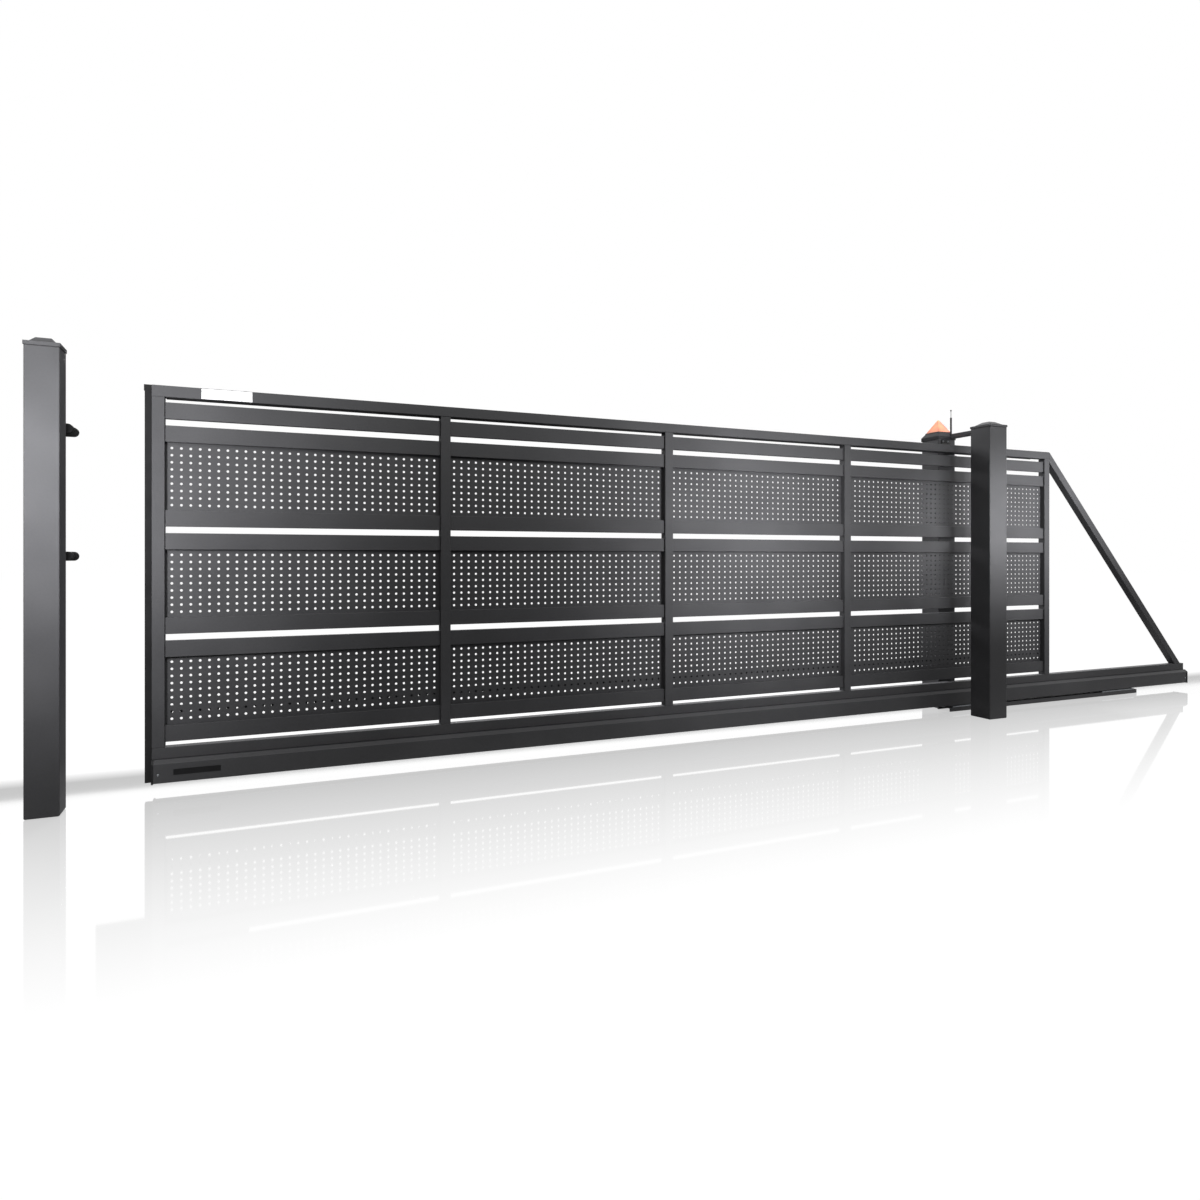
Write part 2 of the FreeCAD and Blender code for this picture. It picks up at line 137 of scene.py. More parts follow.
# %% [markdown]
# ## Graphite powder coat
# The posts, tubes, slats and sheets are steel, powder coated in a fine-textured graphite. The powder melts
# into a skin with a grain of about half a millimetre, which kills sharp reflections and leaves a soft
# sheen. A flat grey would look like plastic, so three things are layered: a fine grain in the bump, a
# slower drift in the colour where the coat is thicker or thinner, and a roughness that varies a little.
# The real grain is too fine for the picture, so the bump is drawn at 1.6 mm, and a speckle of 7 mm in the
# colour and the roughness helps it to show.

# %% Graphite powder coat
GRAIN_MM = 1.6
SPECKLE_MM = 7
DRIFT_MM = 260


def powder_coat(name, colour, drift_colour, roughness):
    material = new_material(name)
    place = add_node(material, "ShaderNodeTexCoord").outputs["Object"]
    grain = add_node(material, "ShaderNodeTexNoise", inputs={"Scale": pattern_scale(GRAIN_MM), "Detail": 3.0},
                     links={"Vector": place})
    drift = add_node(material, "ShaderNodeTexNoise", inputs={"Scale": pattern_scale(DRIFT_MM), "Detail": 2.0},
                     links={"Vector": place})
    speckle = add_node(material, "ShaderNodeTexNoise",
                       inputs={"Scale": pattern_scale(SPECKLE_MM), "Detail": 2.0}, links={"Vector": place})
    blend = add_node(material, "ShaderNodeMath", {"operation": "MULTIPLY_ADD"}, {1: 0.35},
                     {0: speckle.outputs["Fac"], 2: drift.outputs["Fac"]})
    paint = add_node(material, "ShaderNodeValToRGB", links={"Fac": blend.outputs["Value"]})
    paint.color_ramp.elements[0].position = 0.45
    paint.color_ramp.elements[0].color = linear(colour)
    paint.color_ramp.elements[1].position = 0.9
    paint.color_ramp.elements[1].color = linear(drift_colour)
    sheen = add_node(material, "ShaderNodeMapRange", inputs={"To Min": roughness - 0.04,
                                                             "To Max": roughness + 0.06},
                     links={"Value": speckle.outputs["Fac"]})
    bump = add_node(material, "ShaderNodeBump", inputs={"Strength": 0.25, "Distance": mm(0.12)},
                    links={"Height": grain.outputs["Fac"]})
    coat = add_node(material, "ShaderNodeBsdfPrincipled", inputs={"IOR": 1.5},
                    links={"Base Color": paint.outputs["Color"], "Roughness": sheen.outputs["Result"],
                           "Normal": bump.outputs["Normal"]})
    add_node(material, "ShaderNodeOutputMaterial", links={"Surface": coat.outputs["BSDF"]})
    return material


graphite = powder_coat("graphite_powder_coat", "#3B3B3D", "#454547", 0.46)
print("finish:", graphite.name)

# %% [markdown]
# ## Moulded and rubber parts
# The drive cover, the lamp base and the rail's end caps are moulded plastic: black, satin, with a light
# spark-eroded grain from the mould. The catches and the closing edge are rubber, which is blacker, duller
# and a little uneven, and the guide roller is turned from nylon. One function makes them all, with another
# colour, grain and roughness for each. Its clouds are 45 mm across, the size at which handling and weather
# leave such a part lighter or duller.

# %% Moulded and rubber parts
CLOUD_MM = 45


def moulded(name, colour, light_colour, roughness, grain_mm, ior):
    material = new_material(name)
    place = add_node(material, "ShaderNodeTexCoord").outputs["Object"]
    grain = add_node(material, "ShaderNodeTexNoise", inputs={"Scale": pattern_scale(grain_mm),
                                                             "Detail": 4.0}, links={"Vector": place})
    cloud = add_node(material, "ShaderNodeTexNoise", inputs={"Scale": pattern_scale(CLOUD_MM), "Detail": 3.0},
                     links={"Vector": place})
    paint = add_node(material, "ShaderNodeValToRGB", links={"Fac": cloud.outputs["Fac"]})
    paint.color_ramp.elements[0].position = 0.35
    paint.color_ramp.elements[0].color = linear(colour)
    paint.color_ramp.elements[1].position = 0.75
    paint.color_ramp.elements[1].color = linear(light_colour)
    gloss = add_node(material, "ShaderNodeMapRange", inputs={"To Min": roughness - 0.05,
                                                             "To Max": roughness + 0.08},
                     links={"Value": cloud.outputs["Fac"]})
    bump = add_node(material, "ShaderNodeBump", inputs={"Strength": 0.3, "Distance": mm(0.15)},
                    links={"Height": grain.outputs["Fac"]})
    body = add_node(material, "ShaderNodeBsdfPrincipled", inputs={"IOR": ior},
                    links={"Base Color": paint.outputs["Color"], "Roughness": gloss.outputs["Result"],
                           "Normal": bump.outputs["Normal"]})
    add_node(material, "ShaderNodeOutputMaterial", links={"Surface": body.outputs["BSDF"]})
    return material


black_plastic = moulded("moulded_black_plastic", "#151517", "#1E1E20", 0.42, 1.2, 1.5)
rubber = moulded("extruded_rubber", "#0F0F10", "#19191A", 0.62, 2.0, 1.52)
nylon = moulded("machined_nylon", "#D9D8D0", "#E4E3DC", 0.38, 3.0, 1.53)
print("finishes:", black_plastic.name, rubber.name, nylon.name)

# %% [markdown]
# ## Galvanised steel
# The carriages, the gear rack and the guide track are zinc coated. Hot-dip zinc freezes in crystals, the
# spangle, a few millimetres to a centimetre across, each of which shines a little differently. A Voronoi
# texture gives such cells, and it drives both the brightness and the roughness. The rack and the track
# have the same finish in a darker grey.

# %% Galvanised steel
SPANGLE_MM = 9


def galvanised(name, dark, light):
    material = new_material(name)
    place = add_node(material, "ShaderNodeTexCoord").outputs["Object"]
    spangle = add_node(material, "ShaderNodeTexVoronoi", inputs={"Scale": pattern_scale(SPANGLE_MM)},
                       links={"Vector": place})
    cell = add_node(material, "ShaderNodeSeparateColor", links={"Color": spangle.outputs["Color"]})
    paint = add_node(material, "ShaderNodeValToRGB", links={"Fac": cell.outputs["Red"]})
    paint.color_ramp.elements[0].color = linear(dark)
    paint.color_ramp.elements[1].color = linear(light)
    gloss = add_node(material, "ShaderNodeMapRange", inputs={"To Min": 0.34, "To Max": 0.52},
                     links={"Value": cell.outputs["Green"]})
    steel = add_node(material, "ShaderNodeBsdfPrincipled", inputs={"Metallic": 1.0},
                     links={"Base Color": paint.outputs["Color"], "Roughness": gloss.outputs["Result"]})
    add_node(material, "ShaderNodeOutputMaterial", links={"Surface": steel.outputs["BSDF"]})
    return material


zinc = galvanised("galvanised_steel", "#8C8F93", "#A9ACB0")
# A darker grey of the zinc finish for the rack and the track.
track_zinc = galvanised("darker_zinc_track", "#3A3B3D", "#4A4B4E")
print("finishes:", zinc.name, track_zinc.name)

# %% [markdown]
# ## The lamp's lens
# The flashing lamp is a pyramid of translucent orange plastic, faded to salmon. Plastic like this passes
# some light and scatters the rest, so part transmission and a soft roughness give it depth. Broad shallow
# flutes break up the light, and a wave texture draws them. Its bands repeat every 2 pi / 20 of a metre
# over its scale, which puts them about 25 mm apart here.

# %% The lamp's lens
FLUTE_SCALE = 12.5
LENS_CLOUD_MM = 35


def lens_plastic(name, colour, warm_colour):
    material = new_material(name)
    place = add_node(material, "ShaderNodeTexCoord").outputs["Object"]
    flutes = add_node(material, "ShaderNodeTexWave", {"bands_direction": "X"},
                      {"Scale": FLUTE_SCALE, "Distortion": 0.4}, {"Vector": place})
    cloud = add_node(material, "ShaderNodeTexNoise",
                     inputs={"Scale": pattern_scale(LENS_CLOUD_MM), "Detail": 2.0}, links={"Vector": place})
    paint = add_node(material, "ShaderNodeValToRGB", links={"Fac": cloud.outputs["Fac"]})
    paint.color_ramp.elements[0].position = 0.3
    paint.color_ramp.elements[0].color = linear(colour)
    paint.color_ramp.elements[1].position = 0.75
    paint.color_ramp.elements[1].color = linear(warm_colour)
    bump = add_node(material, "ShaderNodeBump", inputs={"Strength": 0.35, "Distance": mm(0.5)},
                    links={"Height": flutes.outputs["Fac"]})
    lens = add_node(material, "ShaderNodeBsdfPrincipled", inputs={"IOR": 1.49, "Roughness": 0.3,
                                                                  "Transmission Weight": 0.2},
                    links={"Base Color": paint.outputs["Color"], "Normal": bump.outputs["Normal"]})
    add_node(material, "ShaderNodeOutputMaterial", links={"Surface": lens.outputs["BSDF"]})
    return material


amber = lens_plastic("amber_lens", "#D27A6A", "#DE9A70")
print("flutes repeat every", round(2 * math.pi / 20 / FLUTE_SCALE * 1000, 1), "mm")

# %% [markdown]
# ## Dressing the frame
# The record names a material slot for each CAD node, so a short table from slot to finish dresses all of
# them. The guide track and the gear rack then get the darker zinc.

# %% Dressing the frame
FINISHES = {
    "graphite_powder_coat": graphite, "black_plastic": black_plastic, "black_rubber": rubber,
    "amber_lens": amber, "zinc_steel": zinc, "white_nylon": nylon,
}


def dress(piece, material):
    piece.data.materials.clear()
    piece.data.materials.append(material)


for subpart in frame["record"]["subparts"]:
    dress(frame["nodes"][subpart["node"]], FINISHES[subpart["material_slot"]])
for node_name in ("guide_track", "gear_rack"):
    dress(frame["nodes"][node_name], track_zinc)

# %% [markdown]
# ## Rounded edges
# Drawn tube, folded steel and moulded parts have no knife edges. A Weld modifier joins the split corners
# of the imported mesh, and a Bevel modifier then rounds what is left sharp. Both are modifiers, so the packed
# mesh stays as it is. The table gives the radius in millimetres: wide on the posts and tubes, small on the
# slats, caps and catches. Pieces that aren't in it, such as the wheels, the rack and the track, stay sharp.

# %% Rounded edges
WELD_DISTANCE = mm(0.01)
SHARP_ANGLE = math.radians(40)
EDGE_RADII = {
    "receiving_post": 7, "guide_post": 5, "rear_post": 5, "top_rail": 4, "bottom_rail": 4,
    "closing_stile": 4, "mullion_1": 4, "mullion_2": 4, "mullion_3": 4, "tail_stile": 4, "tail_brace": 4,
    "receiving_post_cap": 1.5, "guide_post_cap": 1.5, "drive_head": 2, "lamp_lens": 1, "crossbar": 2,
    "upper_catch": 1.5, "lower_catch": 1.5, "guide_rail": 1.5, "slats_bay_1": 1.5, "slats_bay_2": 1.5,
    "slats_bay_3": 1.5, "slats_bay_4": 1.5,
}


def soften(piece, radius_mm):
    """Rounds a piece's sharp edges by that radius."""
    weld = piece.modifiers.new("weld", "WELD")
    weld.merge_threshold = WELD_DISTANCE
    bevel = piece.modifiers.new("edge", "BEVEL")
    bevel.width = mm(radius_mm)
    bevel.segments = 2
    bevel.limit_method = "ANGLE"
    bevel.angle_limit = SHARP_ANGLE
    bevel.harden_normals = True


for name, radius in EDGE_RADII.items():
    soften(frame["nodes"][name], radius)
print("rounded", len(EDGE_RADII), "nodes")

# %% [markdown]
# ## A helper for meshes
# The pieces below are all built in mesh code. Each ends the same way: the mesh becomes an object with a
# finish, and it rides on one of the two bodies, so that it slides with the leaf or stays with the posts.

# %% A helper for meshes
def make_piece(name, mesh_data, material, body):
    """Turns a bmesh into a piece that rides on a body. Returns the new object."""
    mesh = bpy.data.meshes.new(name)
    bmesh.ops.recalc_face_normals(mesh_data, faces=mesh_data.faces)
    mesh_data.to_mesh(mesh)
    mesh_data.free()
    mesh.materials.append(material)
    piece = bpy.data.objects.new(name, mesh)
    scene.collection.objects.link(piece)
    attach(piece, body)
    return piece


print("materials in the file, with the packed model's own:", len(bpy.data.materials))

# %% [markdown]
# ## Blocks and turned parts
# Most small fixings are either a plain block or a turned part, like a washer or a screw's head. The block
# is given by two opposite corners. The turned part is given by its profile, a list of distances along the
# axis with the radius at each, which is how a turner would read it off a drawing.

# %% Blocks and turned parts
def add_block(mesh_data, low, high):
    """Adds a closed block between two corners."""
    xs, ys, zs = zip(low, high)
    corners = [mesh_data.verts.new((x, y, z)) for x in xs for y in ys for z in zs]
    for face in ((0, 1, 3, 2), (4, 6, 7, 5), (0, 4, 5, 1), (2, 3, 7, 6), (0, 2, 6, 4), (1, 5, 7, 3)):
        mesh_data.faces.new([corners[i] for i in face])


def add_turned(mesh_data, centre, axis, profile, sides):
    """Adds a turned solid: profile is (distance along the axis, radius) from one end to the other."""
    axis = Vector(axis).normalized()
    across = axis.orthogonal().normalized()
    other = axis.cross(across)
    rings = []
    for along, radius in profile:
        ring = []
        for k in range(sides):
            turn = 2 * math.pi * k / sides
            offset = across * math.cos(turn) + other * math.sin(turn)
            ring.append(mesh_data.verts.new(Vector(centre) + axis * along + offset * radius))
        rings.append(ring)
    for ring, above in zip(rings, rings[1:]):
        for k in range(sides):
            j = (k + 1) % sides
            mesh_data.faces.new((ring[k], ring[j], above[j], above[k]))
    mesh_data.faces.new(rings[0])
    mesh_data.faces.new(rings[-1])


# %% [markdown]
# ## One hole of the sheets
# Behind the slats of each bay stand three sheets, punched with round holes in straight rows. The holes are
# the look of this gate: the white behind it shines through them, so they are real holes and not a picture
# of holes. Cutting thousands of them with booleans is slow, and the pattern is regular, so the sheet is
# built the other way round, from cells that are joined edge to edge. Each cell is a rectangle of one pitch
# by one pitch with a round hole in its middle.

# %% One hole of the sheets
HOLE_PITCH_X = mm(30)
HOLE_PITCH_Z = mm(25.27)
HOLE_RADIUS = mm(4.5)
HOLE_SIDES = 16
HOLE_ROWS = 9
HOLE_INSET = mm(20)
LEVEL_MIDDLES = (mm(350), mm(729), mm(1108))


def hole_ring(mesh_data, x, y, z):
    """The vertices round one hole, starting at the right and going up."""
    return [mesh_data.verts.new((x + HOLE_RADIUS * math.cos(2 * math.pi * k / HOLE_SIDES), y,
                                 z + HOLE_RADIUS * math.sin(2 * math.pi * k / HOLE_SIDES)))
            for k in range(HOLE_SIDES)]


def cell_faces(mesh_data, corners, ring):
    """Fills a square cell round its hole. The corners go round the same way as the ring."""
    quarter = HOLE_SIDES // 4
    for q in range(4):
        corner, last = corners[q], corners[q - 1]
        mesh_data.faces.new((last, corner, ring[q * quarter]))
        for k in range(q * quarter, (q + 1) * quarter):
            mesh_data.faces.new((corner, ring[(k + 1) % HOLE_SIDES], ring[k]))


print("hole pitch", HOLE_PITCH_X * 1000, "by", HOLE_PITCH_Z * 1000, "mm")

# %% [markdown]
# ## One sheet
# The grid of cells is closed by plain cells along its border. Front, back and the walls of the holes share
# their vertices, so each sheet is one closed solid.

# %% One sheet
def perforated_sheet(mesh_data, low, high, first_x, columns, middle_z):
    """Adds one sheet with its rows and columns of holes, as one closed solid."""
    first_z = middle_z - (HOLE_ROWS - 1) / 2 * HOLE_PITCH_Z
    xs = [low[0]] + [first_x + (i - 0.5) * HOLE_PITCH_X for i in range(columns + 1)] + [high[0]]
    zs = [low[2]] + [first_z + (i - 0.5) * HOLE_PITCH_Z for i in range(HOLE_ROWS + 1)] + [high[2]]
    layers = []
    for y in (low[1], high[1]):
        grid = [[mesh_data.verts.new((x, y, z)) for z in zs] for x in xs]
        rings = {}
        for i in range(len(xs) - 1):
            for j in range(len(zs) - 1):
                corners = (grid[i + 1][j + 1], grid[i][j + 1], grid[i][j], grid[i + 1][j])
                if 0 < i < len(xs) - 2 and 0 < j < len(zs) - 2:
                    ring = hole_ring(mesh_data, (xs[i] + xs[i + 1]) / 2, y, (zs[j] + zs[j + 1]) / 2)
                    cell_faces(mesh_data, corners, ring)
                    rings[i, j] = ring
                else:
                    mesh_data.faces.new(corners)
        layers.append((grid, rings))
    (front, front_rings), (back, back_rings) = layers
    for key, ring in front_rings.items():
        other = back_rings[key]
        for k in range(HOLE_SIDES):
            j = (k + 1) % HOLE_SIDES
            mesh_data.faces.new((ring[k], ring[j], other[j], other[k]))
    rim = [(i, 0) for i in range(len(xs))]
    rim += [(len(xs) - 1, j) for j in range(1, len(zs))]
    rim += [(i, len(zs) - 1) for i in range(len(xs) - 2, -1, -1)]
    rim += [(0, j) for j in range(len(zs) - 2, 0, -1)]
    for (a, b), (c, d) in zip(rim, rim[1:] + rim[:1]):
        mesh_data.faces.new((front[a][b], front[c][d], back[c][d], back[a][b]))


# %% [markdown]
# ## The sheets of each bay
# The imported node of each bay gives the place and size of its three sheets, with a plain grid of openings.
# The sheets built here fill the same box with the fine holes, and take the node's place.

# %% The sheets of each bay
ROUNDING_GUARD = 1e-4


def bay_of_sheets(number):
    """Builds the three sheets of a bay in place of its plain node."""
    node = "sheets_bay_%d" % number
    low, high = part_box(node)
    lap = (high.z - low.z - (LEVEL_MIDDLES[2] - LEVEL_MIDDLES[0])) / 2
    columns = int((high.x - low.x - 2 * HOLE_INSET) / HOLE_PITCH_X + ROUNDING_GUARD) + 1
    data = bmesh.new()
    for middle in LEVEL_MIDDLES:
        perforated_sheet(data, (low.x, low.y, middle - lap), (high.x, high.y, middle + lap),
                         low.x + HOLE_INSET, columns, middle)
    piece = make_piece("perforated_sheets_%d" % number, data, graphite, "leaf")
    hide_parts(node)
    print(piece.name, "has", columns * HOLE_ROWS * len(LEVEL_MIDDLES), "holes")


for bay in range(1, 5):
    bay_of_sheets(bay)

# %% [markdown]
# ## The blank plates
# A small dark plate sits low on the guide rail, and a pale sticker on the top rail near its leading end.
# Both are bare. Each is a thin block with a raised border, which catches the light at its edge as the rim
# of a pressed plate or the edge of a sticker does.

# %% The blank plates
PLATE_X, PLATE_Z, PLATE_DEPTH = (mm(-3734), mm(-3584)), (mm(61), mm(81)), mm(1.2)
STICKER_X, STICKER_Z, STICKER_DEPTH = (mm(-3647), mm(-3481)), (mm(1386), mm(1422)), mm(0.4)

pale_vinyl = moulded("pale_vinyl", "#EDEDEF", "#F6F6F7", 0.4, 4.0, 1.46)
plate_black = moulded("anodised_black", "#0E0E10", "#151517", 0.35, 1.0, 1.5)
rail_low, rail_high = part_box("guide_rail")
top_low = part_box("top_rail")[0]


def thin_plate(name, low, high, border, material):
    """A thin plate with a raised border, standing out towards the street."""
    data = bmesh.new()
    thickness = high[1] - low[1]
    add_block(data, (low[0], low[1] + thickness / 2, low[2]), high)
    for a, b in (((low[0], low[2]), (high[0], low[2] + border)),
                 ((low[0], high[2] - border), (high[0], high[2])),
                 ((low[0], low[2] + border), (low[0] + border, high[2] - border)),
                 ((high[0] - border, low[2] + border), (high[0], high[2] - border))):
        add_block(data, (a[0], low[1], a[1]), (b[0], low[1] + thickness / 2, b[1]))
    make_piece(name, data, material, "leaf")
    print(name, "is", round((high[0] - low[0]) * 1000), "by", round((high[2] - low[2]) * 1000), "mm")


thin_plate("blank_plate", (PLATE_X[0], rail_low.y - PLATE_DEPTH, PLATE_Z[0]),
           (PLATE_X[1], rail_low.y, PLATE_Z[1]), mm(1.5), plate_black)
thin_plate("blank_sticker", (STICKER_X[0], top_low.y - STICKER_DEPTH, STICKER_Z[0]),
           (STICKER_X[1], top_low.y, STICKER_Z[1]), mm(0.8), pale_vinyl)

# %% [markdown]
# ## Closing edge
# The buffer strip on the leaf's leading stile is an extrusion: its front face carries fine ribs, so that
# it gives a little when it meets the catches, and a small moulded plug closes its top. The ribs are
# half-round beads, four on each side of the groove, and they end where the plug begins.

# %% Closing edge
RIBS_EACH_SIDE = 4
FIRST_RIB, RIB_STEP, RIB_RADIUS = mm(5.2), mm(2.3), mm(0.9)
RIB_CORNERS = 7
PLUG_HEIGHT, PLUG_FORWARD, PLUG_SIDE = mm(21), mm(3), mm(1)

edge_low, edge_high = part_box("closing_edge")


def add_bead(mesh_data, x, y, low_z, high_z, radius):
    """Adds a half-round bead that runs upright on the strip's front face."""
    turns = [math.pi * k / (RIB_CORNERS - 1) for k in range(RIB_CORNERS)]
    points = [(x - radius * math.sin(turn), y - radius * math.cos(turn)) for turn in turns]
    low_ring = [mesh_data.verts.new((u, v, low_z)) for u, v in points]
    high_ring = [mesh_data.verts.new((u, v, high_z)) for u, v in points]
    for k in range(RIB_CORNERS):
        j = (k + 1) % RIB_CORNERS
        mesh_data.faces.new((low_ring[k], low_ring[j], high_ring[j], high_ring[k]))
    mesh_data.faces.new(low_ring)
    mesh_data.faces.new(high_ring)


ribs = bmesh.new()
middle_y = (edge_low.y + edge_high.y) / 2
for side in (-1, 1):
    for k in range(RIBS_EACH_SIDE):
        add_bead(ribs, edge_low.x, middle_y + side * (FIRST_RIB + RIB_STEP * k), edge_low.z,
                 edge_high.z - PLUG_HEIGHT, RIB_RADIUS)
make_piece("edge_ribs", ribs, rubber, "leaf")

plug = bmesh.new()
add_block(plug, (edge_low.x - PLUG_FORWARD, edge_low.y - PLUG_SIDE, edge_high.z - PLUG_HEIGHT),
          (edge_low.x, edge_high.y + PLUG_SIDE, edge_high.z))
plug_piece = make_piece("edge_plug", plug, black_plastic, "leaf")
soften(plug_piece, 0.8)
print("closing edge:", 2 * RIBS_EACH_SIDE, "ribs and a plug")

# %% [markdown]
# ## Fixings at the drive post
# A small folded bracket with two hexagon screws sits on the drive post's face just under the cover, beside
# the crossbar's end. A hexagon head is a turned part with six sides, and the washer under it is a turned
# part with many.

# %% Fixings at the drive post
BRACKET_X = (mm(-44), mm(14))
BRACKET_DROP, BRACKET_TOP_GAP = mm(24), mm(1)
BRACKET_SHEET, BRACKET_DEPTH, LIP_TOP = mm(3), mm(12), mm(20)
SCREW_PLACES, SCREW_DROP, ACROSS_FLATS = (-32, 2), mm(11), mm(8)
WASHER_SHEET = mm(1.2)

post_low, post_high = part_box("rear_post")


def hex_head(data, centre, axis, across_flats):
    """A hexagon screw head with a thin washer under it."""
    radius = across_flats / 2
    add_turned(data, centre, axis, [(0, radius * 1.35), (WASHER_SHEET, radius * 1.35)], 24)
    start = Vector(centre) + Vector(axis) * WASHER_SHEET
    add_turned(data, start, axis, [(0, radius * 1.15), (radius * 0.6, radius * 1.15),
                                   (radius * 0.75, radius)], 6)


bracket = bmesh.new()
add_block(bracket, (BRACKET_X[0], post_low.y - BRACKET_SHEET, post_high.z - BRACKET_DROP),
          (BRACKET_X[1], post_low.y, post_high.z - BRACKET_TOP_GAP))
add_block(bracket, (BRACKET_X[0], post_low.y - BRACKET_DEPTH, post_high.z - BRACKET_DROP),
          (BRACKET_X[1], post_low.y - BRACKET_SHEET, post_high.z - LIP_TOP))
make_piece("crossbar_bracket", bracket, plate_black, "ground_works")
hexes = bmesh.new()
for x in SCREW_PLACES:
    hex_head(hexes, (mm(x), post_low.y - BRACKET_SHEET, post_high.z - SCREW_DROP), (0, -1, 0),
             ACROSS_FLATS)
make_piece("bracket_screws", hexes, zinc, "ground_works")
print("drive post: a bracket and", len(SCREW_PLACES), "hexagon screws")

# %% [markdown]
# ## Carriage washers
# Each carriage stands on the sill on a flat foot. A flat washer near each corner of the foot marks where
# it is bolted down. Only the washers are made, because the rail hides this place from most sides.

# %% Carriage washers
FOOT_SHEET = mm(6)
WASHER_INSET_X, WASHER_INSET_Y = mm(18), mm(10)
WASHER_RADIUS, WASHER_HEIGHT = mm(7), mm(1.6)

washers = bmesh.new()
washer_count = 0
for name in ("carriage_1", "carriage_2"):
    foot_low, foot_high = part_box(name)
    for x in (foot_low.x + WASHER_INSET_X, foot_high.x - WASHER_INSET_X):
        for y in (foot_low.y + WASHER_INSET_Y, foot_high.y - WASHER_INSET_Y):
            add_turned(washers, (x, y, foot_low.z + FOOT_SHEET), (0, 0, 1),
                       [(0, WASHER_RADIUS), (WASHER_HEIGHT, WASHER_RADIUS)], 20)
            washer_count += 1
make_piece("carriage_washers", washers, zinc, "ground_works")
print("washers:", washer_count)

# %% [markdown]
# ## Cap screws
# Each end cap of the guide rail is held by a small pan-head screw through either side of the rail. A pan
# head is a low dome with a recess for the driver. Turned from its profile, the recess is round instead of
# a cross, and it is too small to see in the picture.

# %% Cap screws
CAP_SCREW_INSET, CAP_SCREW_HEIGHT, CAP_SCREW_RADIUS = mm(15), mm(30), mm(4)


def pan_head(data, centre, axis, radius):
    """A low dome with a round recess in its middle."""
    profile = [(0, radius), (radius * 0.35, radius * 0.97), (radius * 0.6, radius * 0.75),
               (radius * 0.72, radius * 0.35), (radius * 0.62, radius * 0.2), (radius * 0.4, radius * 0.12)]
    add_turned(data, centre, axis, profile, 20)


screws = bmesh.new()
screw_z = rail_low.z + CAP_SCREW_HEIGHT
screw_places = (rail_low.x + CAP_SCREW_INSET, rail_high.x - CAP_SCREW_INSET)
for x in screw_places:
    pan_head(screws, (x, rail_low.y, screw_z), (0, -1, 0), CAP_SCREW_RADIUS)
    pan_head(screws, (x, rail_high.y, screw_z), (0, 1, 0), CAP_SCREW_RADIUS)
make_piece("cap_screws", screws, zinc, "leaf")
print("cap screws:", 2 * len(screw_places))

# %% [markdown]
# ## The white studio
# The gate stands in a white studio. It stays white in the picture because camera, glossy and transmission
# rays see the world at full strength, while surfaces are lit by a much smaller share of it. A dark gate in
# full white light from all round would lose its shading.

# %% The white studio
WORLD_SHARE = 0.12

world = bpy.data.worlds.new("studio")
scene.world = world
world.use_nodes = True
world.node_tree.nodes.clear()
rays = add_node(world, "ShaderNodeLightPath")
seen = add_node(world, "ShaderNodeMath", {"operation": "MAXIMUM"},
                links={0: rays.outputs["Is Camera Ray"], 1: rays.outputs["Is Glossy Ray"]})
seen = add_node(world, "ShaderNodeMath", {"operation": "MAXIMUM"},
                links={0: seen.outputs["Value"], 1: rays.outputs["Is Transmission Ray"]})
strength = add_node(world, "ShaderNodeMapRange", inputs={"To Min": WORLD_SHARE, "To Max": 1.0},
                    links={"Value": seen.outputs["Value"]})
sky = add_node(world, "ShaderNodeBackground", inputs={"Color": (1, 1, 1, 1)},
               links={"Strength": strength.outputs["Result"]})
add_node(world, "ShaderNodeOutputWorld", links={"Surface": sky.outputs["Background"]})
print("surfaces get", WORLD_SHARE, "of the world's light")

# %% [markdown]
# ## The floor
# The pale floor is glossy near the gate and shows its reflection, which fades towards the viewer. The
# gloss is strongest at the gate's line and ends just behind it. What isn't gloss is mostly an emission
# that only the camera sees, so the floor stays white without throwing light up at the gate.

# %% The floor
GLOSS_SHARE = 0.46
FADE_FROM_Y, FADE_TO_Y = -1.3, 0.2
BEHIND_FROM_Y, BEHIND_TO_Y = 0.45, 0.6
WHITE_LEVEL = 1.05
WHITE_SHARE = 0.95
FLOOR_HALF = 40


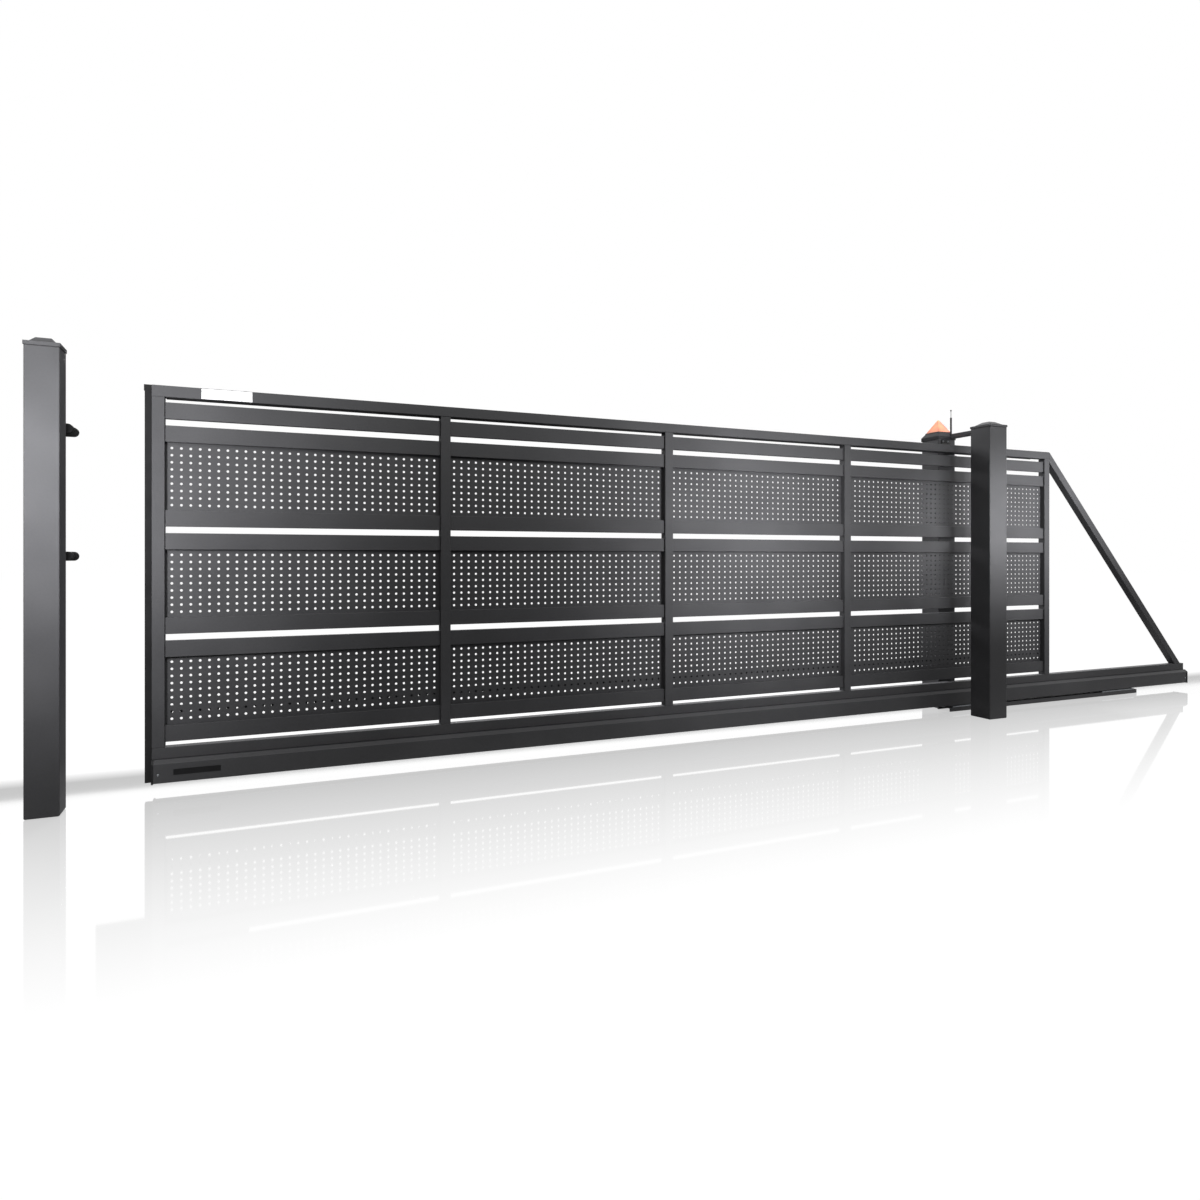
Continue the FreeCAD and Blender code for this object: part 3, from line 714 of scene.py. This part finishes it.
def floor_material():
    """White paint under clear gloss. The gloss fades from the gate's line towards the viewer."""
    material = new_material("studio_floor")
    place = add_node(material, "ShaderNodeTexCoord").outputs["Object"]
    across = add_node(material, "ShaderNodeSeparateXYZ", links={"Vector": place})
    fade = add_node(material, "ShaderNodeMapRange", inputs={"From Min": FADE_FROM_Y, "From Max": FADE_TO_Y,
                                                            "To Min": 0.0, "To Max": GLOSS_SHARE},
                    links={"Value": across.outputs["Y"]})
    behind = add_node(material, "ShaderNodeMapRange",
                      inputs={"From Min": BEHIND_FROM_Y, "From Max": BEHIND_TO_Y, "To Min": 1.0,
                              "To Max": 0.0},
                      links={"Value": across.outputs["Y"]})
    share = add_node(material, "ShaderNodeMath", {"operation": "MULTIPLY"},
                     links={0: fade.outputs["Result"], 1: behind.outputs["Result"]})
    path = add_node(material, "ShaderNodeLightPath")
    level = add_node(material, "ShaderNodeMath", {"operation": "MULTIPLY"}, {1: WHITE_LEVEL},
                     {0: path.outputs["Is Camera Ray"]})
    white = add_node(material, "ShaderNodeEmission", inputs={"Color": (1, 1, 1, 1)},
                     links={"Strength": level.outputs["Value"]})
    paint = add_node(material, "ShaderNodeBsdfDiffuse", inputs={"Color": linear("#F4F4F4")})
    ground = add_node(material, "ShaderNodeMixShader", inputs={0: WHITE_SHARE},
                      links={1: paint.outputs["BSDF"], 2: white.outputs["Emission"]})
    gloss = add_node(material, "ShaderNodeBsdfAnisotropic", inputs={"Color": (1, 1, 1, 1),
                                                                    "Roughness": 0.04})
    surface = add_node(material, "ShaderNodeMixShader",
                       links={0: share.outputs["Value"], 1: ground.outputs["Shader"],
                              2: gloss.outputs["BSDF"]})
    add_node(material, "ShaderNodeOutputMaterial", links={"Surface": surface.outputs["Shader"]})
    return material


floor_data = bmesh.new()
floor_corners = [(-FLOOR_HALF, -FLOOR_HALF), (FLOOR_HALF, -FLOOR_HALF), (FLOOR_HALF, FLOOR_HALF),
                 (-FLOOR_HALF, FLOOR_HALF)]
floor_data.faces.new([floor_data.verts.new((x, y, 0)) for x, y in floor_corners])
floor_mesh = bpy.data.meshes.new("floor")
floor_data.to_mesh(floor_mesh)
floor_data.free()
floor_mesh.materials.append(floor_material())
floor = bpy.data.objects.new("floor", floor_mesh)
scene.collection.objects.link(floor)
floor.location.z = mm(-1)
print("floor:", 2 * FLOOR_HALF, "m square")

# %% [markdown]
# ## Black flags
# Dark powder coat is shaped by what it reflects. A photographer keeps white walls out of such a surface
# with flags, which are black sheets on stands. Long, low ones far behind the gate, at its left and on the
# street side keep the white studio out of the steel's grazing reflections, so that the sides which face
# along the drive stay dark. A small one stands behind the gap beside the receiving post. Only reflections
# see them, so they throw no shadow, but the glossy floor can show them faintly.

# %% Black flags
flag_black = moulded("flag_cloth", "#000000", "#020202", 0.9, 5.0, 1.1)
FLAGS = {
    "flag_behind": [(-70, 30, 0), (70, 30, 0), (70, 30, 7.5), (-70, 30, 7.5)],
    "flag_left": [(-16, -9, 0), (-16, 4, 0), (-16, 4, 3), (-16, -9, 3)],
    "flag_low": [(-14, -9, 0), (8, -9, 0), (8, -9, 2.4), (-14, -9, 2.4)],
    "flag_by_post": [(-4.1, 1, 0.75), (-3.5, 1, 0.75), (-3.5, 1, 2), (-4.1, 1, 2)],
}


def black_flag(name, corners):
    """A black sheet that only reflections see."""
    data = bmesh.new()
    data.faces.new([data.verts.new(corner) for corner in corners])
    mesh = bpy.data.meshes.new(name)
    data.to_mesh(mesh)
    data.free()
    mesh.materials.append(flag_black)
    flag = bpy.data.objects.new(name, mesh)
    scene.collection.objects.link(flag)
    flag.visible_camera = flag.visible_diffuse = flag.visible_shadow = flag.visible_transmission = False


for name, corners in FLAGS.items():
    black_flag(name, corners)
print("flags:", ", ".join(FLAGS))

# %% [markdown]
# ## Soft panels
# A wide soft panel in front, high up, lights the street side from above and leaves it darker towards the
# ground. A second one lights the back. Four narrow strips close to the gate lift the receiving post, the
# third bay, the guide post and the tail stile, and a tight spot lifts the lamp. The camera sees none of
# them, and of all the panels only the wide one in front shows in the gate's reflections.

# %% Soft panels
STRIPS = [(-4.1, -1.1, 1.1, 16), (-1.3, -1.1, 1.0, 11), (0.0, -0.6, 1.0, 3.4), (0.7, -0.9, 1.1, 9)]


def soft_panel(name, place, target, width, height, power, spread=180, reflected=True):
    """A rectangular lamp at a place, turned to a target. The spread narrows its beam, in degrees."""
    data = bpy.data.lights.new(name, "AREA")
    data.shape = "RECTANGLE"
    data.size = width
    data.size_y = height
    data.energy = power
    data.spread = math.radians(spread)
    panel = bpy.data.objects.new(name, data)
    scene.collection.objects.link(panel)
    panel.location = place
    panel.rotation_euler = (Vector(target) - Vector(place)).to_track_quat("-Z", "Y").to_euler()
    panel.visible_camera = False
    panel.visible_glossy = reflected


soft_panel("front_panel", (-1.2, -3.2, 3.0), (-1.2, 0.2, 1.3), 8.0, 0.8, 56)
soft_panel("back_panel", (-1.0, 5.0, 3.0), (-1.0, 0.2, 0.7), 4.5, 1.6, 260, 60, False)
for x, y, z, power in STRIPS:
    soft_panel("strip_%d" % round(x * 100), (x, y, z), (x, 0.2, z), 0.3, 0.5, power, 90, False)
soft_panel("lamp_spot", (-0.4, -1.2, 1.9), (0.0, 0.33, 1.56), 0.2, 0.2, 0.5, 12, False)
print("lamps:", len(bpy.data.lights))

# %% [markdown]
# ## The view transform
# The Standard view shows a colour about as it is written.

# %% The view transform
scene.view_settings.view_transform = "Standard"
